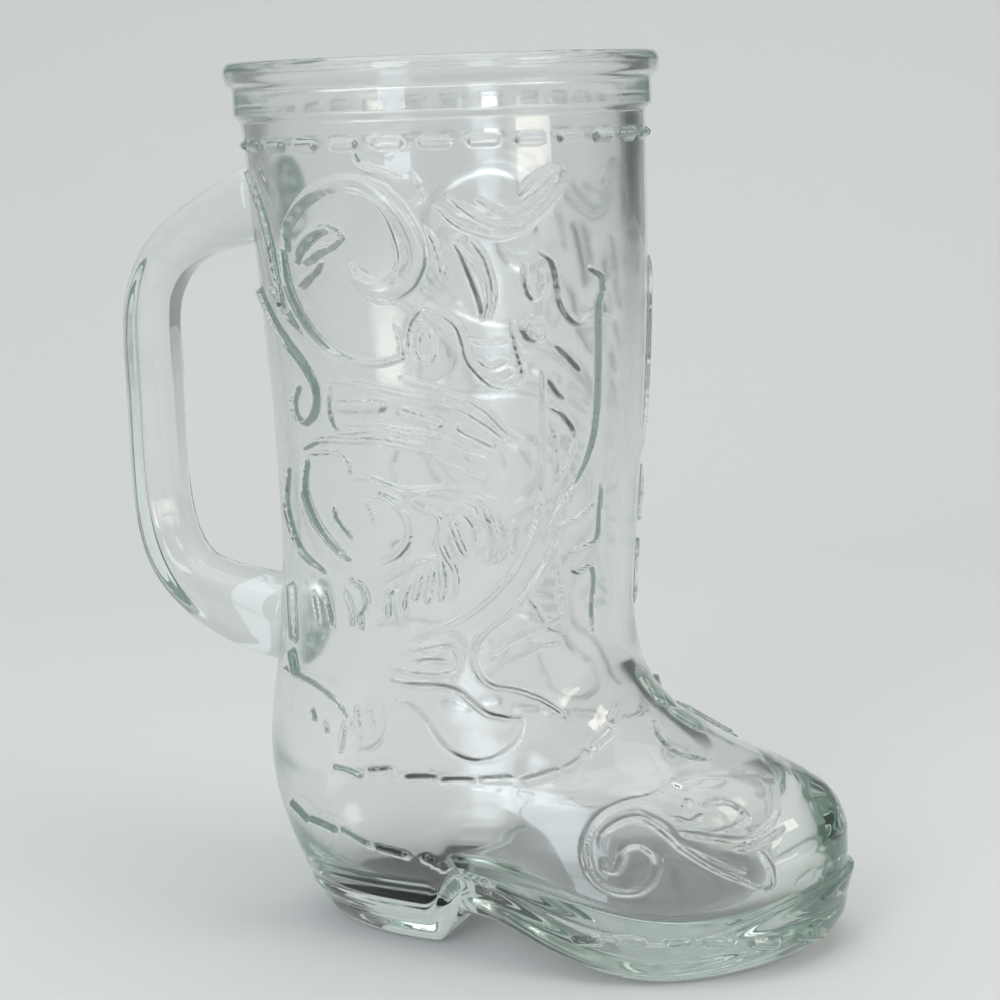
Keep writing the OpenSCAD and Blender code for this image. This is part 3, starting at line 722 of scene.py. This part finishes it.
class Wire:
    """One output of a shader tree. Operators on it add Math nodes."""

    def __init__(self, tree, socket=None):
        self.tree = tree
        self.socket = socket

    def node(self, kind, settings=None, inputs=None, output=0):
        """Adds a node: its settings first, then values or wires for its inputs."""
        made = self.tree.nodes.new(kind)
        for key, value in (settings or {}).items():
            if key == "stops":
                ramp = made.color_ramp.elements
                while len(ramp) < len(value):
                    ramp.new(0.5)
                for stop, (place, colour) in zip(ramp, value):
                    stop.position = place
                    stop.color = colour
            else:
                setattr(made, key, value)
        for key, value in (inputs or {}).items():
            if isinstance(value, Wire):
                self.tree.links.new(value.socket, made.inputs[key])
            else:
                made.inputs[key].default_value = value
        return Wire(self.tree, made.outputs[output] if len(made.outputs) else None)

    def math(self, operation, a, b):
        return self.node("ShaderNodeMath", {"operation": operation}, {0: a, 1: b})

    def __add__(self, other):
        return self.math("ADD", self, other)

    __radd__ = __add__

    def __mul__(self, other):
        return self.math("MULTIPLY", self, other)

    __rmul__ = __mul__

    def __sub__(self, other):
        return self.math("SUBTRACT", self, other)

    def __rsub__(self, other):
        return self.math("SUBTRACT", other, self)


def new_material(name):
    material = bpy.data.materials.new(name)
    material.use_nodes = True
    material.node_tree.nodes.clear()
    return material, Wire(material.node_tree)


def mark_faces(piece, name, marks):
    """Writes a number per face, which the glass reads by name."""
    layer = piece.data.attributes.new(name, "FLOAT", "FACE")
    layer.data.foreach_set("value", np.asarray(marks, np.float32))


def pressed_glass(name, look, density):
    """Clear pressed glass: faintly waved, greener where it is thick, softer on the wall
    inside, and without a surface at the seats, where body and handle are one glass."""
    material, start = new_material(name)
    place = start.node("ShaderNodeTexCoord", output="Object")
    waves = start.node("ShaderNodeTexNoise", {}, {"Vector": place, "Scale": 42.0,
                                                  "Detail": 1.5, "Roughness": 0.4})
    fine = start.node("ShaderNodeTexNoise", {}, {"Vector": place, "Scale": 210.0,
                                                 "Detail": 2.0, "Roughness": 0.5})
    bump = start.node("ShaderNodeBump", {}, {"Strength": look.wave_strength,
                                             "Distance": 0.0006,
                                             "Height": waves + fine * 0.12})
    inner = start.node("ShaderNodeAttribute", {"attribute_name": "inner_wall"}, output="Fac")
    seat = start.node("ShaderNodeAttribute", {"attribute_name": "fused_seat"}, output="Fac")
    rough = look.roughness + fine * 0.012 + inner * look.inner_roughness
    # painted light: where light has been thrown about inside the wall many times, the glass glows
    # with a painted deep tone, or with the room's tone where it can leave, and not black as the
    # tracer has it
    depth = start.node("ShaderNodeLightPath", output="Glossy Depth")
    ends = start.node("ShaderNodeMix", {"data_type": "RGBA"}, {
        0: start.node("ShaderNodeFresnel", {}, {"IOR": GLASS_IOR, "Normal": bump}),
        6: (*look.painted_leaving_glow, 1.0), 7: (*look.painted_trapped_glow, 1.0)}, output=2)
    trapped = start.node("ShaderNodeMix", {"data_type": "RGBA"}, {
        0: depth.math("GREATER_THAN", depth, TRAPPED_DEPTH), 6: (0.0, 0.0, 0.0, 1.0),
        7: ends}, output=2)
    # the emission is painted light, a glow of the glass that stands in for trapped light
    glass = start.node("ShaderNodeBsdfPrincipled", {}, {
        "Base Color": (1.0, 1.0, 1.0, 1.0), "Roughness": rough, "IOR": GLASS_IOR,
        "Transmission Weight": 1.0, "Normal": bump, "Emission Color": trapped,
        "Emission Strength": 1.0, "Alpha": 1.0 - seat})
    body = start.node("ShaderNodeVolumeAbsorption", {}, {
        "Color": (*look.tint, 1.0), "Density": density})
    start.node("ShaderNodeOutputMaterial", {}, {"Surface": glass, "Volume": body})
    return material


# ---- Sizes and looks a user may change ----

COLOUR = {"subtype": "COLOR", "size": 3, "min": 0.0, "max": 1.0}


class GlassBootSizes(bpy.types.PropertyGroup):
    relief: FloatProperty(
        name="Relief height", description="Height of the raised ornament over the wall",
        default=1.35 * MM, min=0.0, max=1.5 * MM, unit="LENGTH", precision=4)
    stitch: FloatProperty(
        name="Stitch height", description="Height of the raised stitches over the wall",
        default=0.9 * MM, min=0.0, max=1.5 * MM, unit="LENGTH", precision=4)
    sides: IntProperty(
        name="Columns", description="Columns of the mesh round the boot",
        default=640, min=96, max=1200)
    rings: IntProperty(
        name="Rings", description="Rings of the mesh over the height of the boot",
        default=560, min=90, max=1200)


class GlassBootLooks(bpy.types.PropertyGroup):
    tint: FloatVectorProperty(
        name="Glass tint", description="Colour of the glass in depth",
        default=(0.38, 0.52, 0.44), **COLOUR)
    body_density: FloatProperty(
        name="Depth of tint", description="How fast the boot's glass takes on its tint",
        default=11.0, min=0.0, max=200.0)
    handle_density: FloatProperty(
        name="Handle depth of tint", description="How fast the handle's glass takes on its tint",
        default=9.0, min=0.0, max=200.0)
    # painted light: the glass glows in these two tones where light is trapped in it, or can leave
    # at last
    painted_trapped_glow: FloatVectorProperty(
        name="Deep tone", description="Tone of light that stays trapped in the glass",
        default=(0.135, 0.170, 0.155), **COLOUR)
    painted_leaving_glow: FloatVectorProperty(
        name="Leaving tone", description="Tone of light that leaves the glass at last",
        default=(0.27, 0.31, 0.29), **COLOUR)
    roughness: FloatProperty(
        name="Roughness", description="Roughness of the fire polished surface",
        default=0.012, min=0.0, max=0.3)
    inner_roughness: FloatProperty(
        name="Inner roughness", description="Roughness of the wall inside, chilled by the plunger",
        default=0.10, min=0.0, max=0.5)
    wave_strength: FloatProperty(
        name="Waves", description="Strength of the faint waves in the pressed surface",
        default=0.25, min=0.0, max=1.0)
    floor_colour: FloatVectorProperty(
        name="Floor", description="Colour of the floor and backdrop",
        default=(0.71, 0.725, 0.72), **COLOUR)
    light_wall_colour: FloatVectorProperty(
        name="Light wall", description="Colour of the room at the left of the stage",
        default=(0.24, 0.26, 0.26), **COLOUR)
    dark_wall_colour: FloatVectorProperty(
        name="Dark wall", description="Colour of the room at the right of the stage",
        default=(0.09, 0.10, 0.10), **COLOUR)
    ceiling_colour: FloatVectorProperty(
        name="Ceiling", description="Colour of the room over the stage",
        default=(0.62, 0.64, 0.64), **COLOUR)


# ---- Operators ----

class GLASSBOOT_OT_body(bpy.types.Operator):
    """Build the boot's one-piece pressed glass body with its relief"""
    bl_idname = "glassboot.body"
    bl_label = "Glass body"

    def execute(self, context):
        sizes, looks = context.scene.glass_boot_sizes, context.scene.glass_boot_looks
        sides = sizes.sides // 2 * 2
        turns = np.arange(sides) / sides * 2 * np.pi
        heights = rings_between(OUTER_LEVELS[:, 0], BOOT_HEIGHT / sizes.rings, COLLAR_FOOT)
        skin = skin_points(OUTER_LEVELS, heights, turns)
        out = skin + grid_normals(skin) * self.relief(skin, heights, sizes)[..., None]
        inner_rows = cavity_rows()
        inner_heights = rings_between(inner_rows[:, 0], CAVITY_RING_GAP)
        hollow = skin_points(inner_rows, inner_heights, turns)
        rings, inner_rings = len(heights), len(inner_heights)
        points = np.concatenate([out.reshape(-1, 3), hollow.reshape(-1, 3)])
        walls = tube_faces(rings, sides)
        inside = tube_faces(inner_rings, sides)[:, ::-1] + rings * sides
        j = np.arange(sides)
        lip_out, lip_in = (rings - 1) * sides, (rings + inner_rings - 1) * sides
        k = (j + 1) % sides
        lip = np.stack([lip_out + j, lip_in + j, lip_in + k, lip_out + k], -1)
        sole, sole_ends = strip_faces(0, sides, False)
        floor, floor_ends = strip_faces(rings * sides, sides, True)
        piece = grid_mesh("glass_boot_body", in_frame(points),
                          [walls, inside, lip, sole, sole_ends, floor, floor_ends])
        piece.data.materials.append(pressed_glass("boot_pressed_glass", looks,
                                                  looks.body_density))
        seats, inner = np.zeros((2, len(piece.data.polygons)))
        seats[:len(walls)] = seat_faces(skin, walls)
        inner[len(walls):len(walls) + len(inside)] = 1.0
        mark_faces(piece, "fused_seat", seats)
        mark_faces(piece, "inner_wall", inner)
        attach(piece, "root")
        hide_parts("boot_body")
        return {"FINISHED"}

    def relief(self, skin, heights, sizes):
        """How far each point of the outer skin is raised by ornament and stitches, in mm."""
        field = ReliefField(skin)
        rise, stitch_rise = sizes.relief / MM, sizes.stitch / MM
        for strokes in (LEG_STROKES, STRAP_STROKES, FOOT_STROKES):
            field.draw(rise, strokes)
        for points in SEAM_DASHES:
            field.stitch(stitch_rise, points)
        for x, y in WELT_DASHES:
            field.stitch(stitch_rise, [(x - WELT_DASH_HALF_PX, y), (x + WELT_DASH_HALF_PX, y)])
        self.collar_dashes(field, heights, stitch_rise)
        self.vamp_bumps(field, stitch_rise)
        return field.whole()

    def collar_dashes(self, field, heights, rise):
        row = int(np.argmin(abs(heights - COLLAR_DASH_HEIGHT)))
        for k in range(COLLAR_DASHES // 2):
            middle = (k + 0.5) / (COLLAR_DASHES / 2) * field.half
            reach = (COLLAR_DASH_LENGTH - COLLAR_DASH_WIDTH) / 2
            span = reach / (np.pi * COLLAR_RADIUS) * field.half
            columns = np.linspace(middle - span, middle + span, 5)
            whole = np.clip(np.round(columns).astype(int), 0, field.half)
            low = np.floor(columns).astype(int).clip(0, field.half - 1)
            share = (columns - low)[:, None]
            spots = field.base[row, low] * (1 - share) + field.base[row, low + 1] * share
            places = [(p, row, int(c)) for p, c in zip(spots, whole)]
            field.stroke("dash", rise, np.full(5, COLLAR_DASH_WIDTH / 2), places)

    def vamp_bumps(self, field, rise):
        front = field.base[:, field.half]
        low, high = VAMP_HEIGHTS
        # far more than any distance on the boot
        elsewhere = 1e3 * ((front[:, 2] < low) | (front[:, 2] > high))
        for x in VAMP_BUMPS:
            rows = [int(np.argmin(abs(front[:, 0] - at) + elsewhere))
                    for at in (x - BUMP_REACH, x, x + BUMP_REACH)]
            places = [(front[r], r, field.half) for r in rows]
            field.stroke("dash", rise, np.full(3, BUMP_RADIUS), places)


class GLASSBOOT_OT_handle(bpy.types.Operator):
    """Build the D-shaped glass handle, seated on the back of the boot"""
    bl_idname = "glassboot.handle"
    bl_label = "Glass handle"

    def execute(self, context):
        looks = context.scene.glass_boot_looks
        sides = HANDLE_SIDES
        ends, middle = handle_rings()
        centres = [ring.mean(0) for ring in ends]
        caps = [[seated(centre + (ring - centre) * share) for share in SEAT_RINGS]
                for ring, centre in zip(ends, centres)]
        stack = [*caps[0][::-1], ends[0], *middle, ends[1], *caps[1]]
        count = len(stack)
        flat = np.concatenate(stack + [seated(np.array(centres))])
        walls = tube_faces(count, sides)
        j = np.arange(sides)
        k = (j + 1) % sides
        hub = count * sides
        near_end = np.stack([k, j, np.full(sides, hub)], -1)
        far = (count - 1) * sides
        far_end = np.stack([far + j, far + k, np.full(sides, hub + 1)], -1)
        piece = grid_mesh("glass_handle", in_frame(flat), [walls, near_end, far_end])
        self.turn_outwards(piece)
        piece.data.materials.append(pressed_glass("handle_pressed_glass", looks,
                                                  looks.handle_density))
        # faces of the seats come first and last, those of the rod lie between them
        seats, seat_rows = np.ones(len(piece.data.polygons)), len(SEAT_RINGS)
        seats[seat_rows * sides:(count - 1 - seat_rows) * sides] = 0.0
        mark_faces(piece, "fused_seat", seats)
        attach(piece, "root")
        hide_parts("handle")
        return {"FINISHED"}

    def turn_outwards(self, piece):
        """Flips the mesh if its faces look inwards, by the sign of its volume."""
        mesh = piece.data
        if sum(face.center.dot(face.normal) * face.area for face in mesh.polygons) < 0:
            mesh.flip_normals()


class GLASSBOOT_OT_stage(bpy.types.Operator):
    """Set the floor, the backdrop, the lights and the camera"""
    bl_idname = "glassboot.stage"
    bl_label = "Stage"

    def execute(self, context):
        looks = context.scene.glass_boot_looks
        self.floor(looks)
        self.world(context, looks)
        self.lights()
        self.camera(context)
        context.scene.view_settings.view_transform = "Standard"
        return {"FINISHED"}

    def floor(self, looks):
        """A wide floor, and a sheet that curves up from it, turned to the camera. The sheet
        is only as wide as the view needs, so the relief's edges bend the room's dark in."""
        right, away = level_axes()
        flat = [(share * FLOOR_REACH, 0.0) for share in (-1, -1 / 3, 0, 1 / 3, 1)]
        sweep = [(SWEEP_START + SWEEP_RADIUS * math.sin(a), SWEEP_RADIUS * (1 - math.cos(a)))
                 for a in np.linspace(0, math.pi / 2, 24)]
        sweep += [(SWEEP_START + SWEEP_RADIUS, h) for h in SWEEP_HEIGHTS]
        points, faces = [], []
        for profile, left_end, right_end in ((flat, -FLOOR_REACH, FLOOR_REACH),
                                             (sweep, *SWEEP_ENDS)):
            across, first = np.linspace(left_end, right_end, 7), len(points)
            n = len(across)
            points += [(*(away * d + right * s), h) for d, h in profile for s in across]
            faces += [(first + i * n + j, first + i * n + j + 1,
                       first + (i + 1) * n + j + 1, first + (i + 1) * n + j)
                      for i in range(len(profile) - 1) for j in range(n - 1)]
        piece = grid_mesh("stage_floor", np.array(points), [np.array(faces)])
        material, start = new_material("stage_paper")
        grain = start.node("ShaderNodeTexNoise", {}, {"Scale": 3.0, "Detail": 2.0})
        tone = start.node("ShaderNodeMix", {"data_type": "RGBA"}, {
            0: grain, 6: (*looks.floor_colour, 1.0),
            7: tuple(0.97 * c for c in looks.floor_colour) + (1.0,)}, output=2)
        paper = start.node("ShaderNodeBsdfPrincipled", {}, {"Base Color": tone,
                                                            "Roughness": 0.8})
        start.node("ShaderNodeOutputMaterial", {}, {"Surface": paper})
        piece.data.materials.append(material)

    def world(self, context, looks):
        world = bpy.data.worlds.new("studio_room")
        context.scene.world = world
        world.use_nodes = True
        world.node_tree.nodes.clear()
        start = Wire(world.node_tree)
        # the walls darken from left to right, and the ceiling is light
        way = start.node("ShaderNodeTexCoord", output="Generated")
        x, y, rise = (start.node("ShaderNodeSeparateXYZ", {}, {"Vector": way}, output=k)
                      for k in range(3))
        right = level_axes()[0]
        side = x * (0.5 * right[0]) + y * (0.5 * right[1]) + 0.5
        walls = start.node("ShaderNodeValToRGB", {"stops": [
            (0.32, (*looks.light_wall_colour, 1.0)),
            (0.56, (*looks.dark_wall_colour, 1.0))]}, {"Fac": side})
        height = start.node("ShaderNodeValToRGB", {"stops": [
            (0.25, (0.0, 0.0, 0.0, 1.0)), (0.7, (1.0, 1.0, 1.0, 1.0))]}, {"Fac": rise})
        tone = start.node("ShaderNodeMix", {"data_type": "RGBA"}, {
            0: height, 6: walls, 7: (*looks.ceiling_colour, 1.0)}, output=2)
        room = start.node("ShaderNodeBackground", {}, {"Color": tone, "Strength": 1.0})
        start.node("ShaderNodeOutputWorld", {}, {"Surface": room})

    def lights(self):
        for name, turn, rise, reach, wide, tall, power, colour in LIGHTS:
            lamp = bpy.data.lights.new(name, "AREA")
            lamp.shape = "RECTANGLE"
            lamp.size, lamp.size_y = wide, tall
            lamp.energy, lamp.color = power, colour
            a = math.radians(CAMERA_TURN + turn)
            e = math.radians(rise)
            back = np.array([math.sin(a) * math.cos(e), -math.cos(a) * math.cos(e), math.sin(e)])
            side = np.array([math.cos(a), math.sin(a), 0.0])
            aim(linked(name, lamp), side, np.cross(back, side), back,
                back * reach + (0, 0, LIT_HEIGHT))

    def camera(self, context):
        place, right, up, forward = camera_frame()
        lens = bpy.data.cameras.new("photo_camera")
        lens.sensor_fit = "HORIZONTAL"
        lens.sensor_width = SENSOR_WIDTH
        lens.lens = CAMERA_FOCUS_PX / PHOTO_PX * SENSOR_WIDTH
        lens.shift_x = (PHOTO_PX / 2 - CAMERA_CENTRE_PX[0]) / PHOTO_PX
        lens.clip_start, lens.clip_end = 0.01, 20.0
        eye = linked("photo_camera", lens)
        aim(eye, right, up, -forward, in_frame(place))
        context.scene.camera = eye


class GLASSBOOT_PT_panel(bpy.types.Panel):
    """Lists the sizes, the looks and the steps of the glass boot"""
    bl_idname = "GLASSBOOT_PT_panel"
    bl_label = "Glass boot"
    bl_space_type = "VIEW_3D"
    bl_region_type = "UI"
    bl_category = "Glass boot"

    def draw(self, context):
        for group in (context.scene.glass_boot_sizes, context.scene.glass_boot_looks):
            box = self.layout.box()
            for key in group.bl_rna.properties.keys():
                if key not in ("rna_type", "name"):
                    box.prop(group, key)
        for step in STEPS:
            self.layout.operator(step.bl_idname)


STEPS = (GLASSBOOT_OT_stage, GLASSBOOT_OT_body, GLASSBOOT_OT_handle)
GROUPS = (GlassBootSizes, GlassBootLooks)


def register():
    for kind in GROUPS + STEPS + (GLASSBOOT_PT_panel,):
        bpy.utils.register_class(kind)
    bpy.types.Scene.glass_boot_sizes = PointerProperty(type=GlassBootSizes)
    bpy.types.Scene.glass_boot_looks = PointerProperty(type=GlassBootLooks)


def unregister():
    del bpy.types.Scene.glass_boot_looks
    del bpy.types.Scene.glass_boot_sizes
    for kind in reversed(GROUPS + STEPS + (GLASSBOOT_PT_panel,)):
        bpy.utils.unregister_class(kind)


def main():
    register()
    bpy.ops.glassboot.stage()
    bpy.ops.glassboot.body()
    bpy.ops.glassboot.handle()


if __name__ == "__main__":
    main()
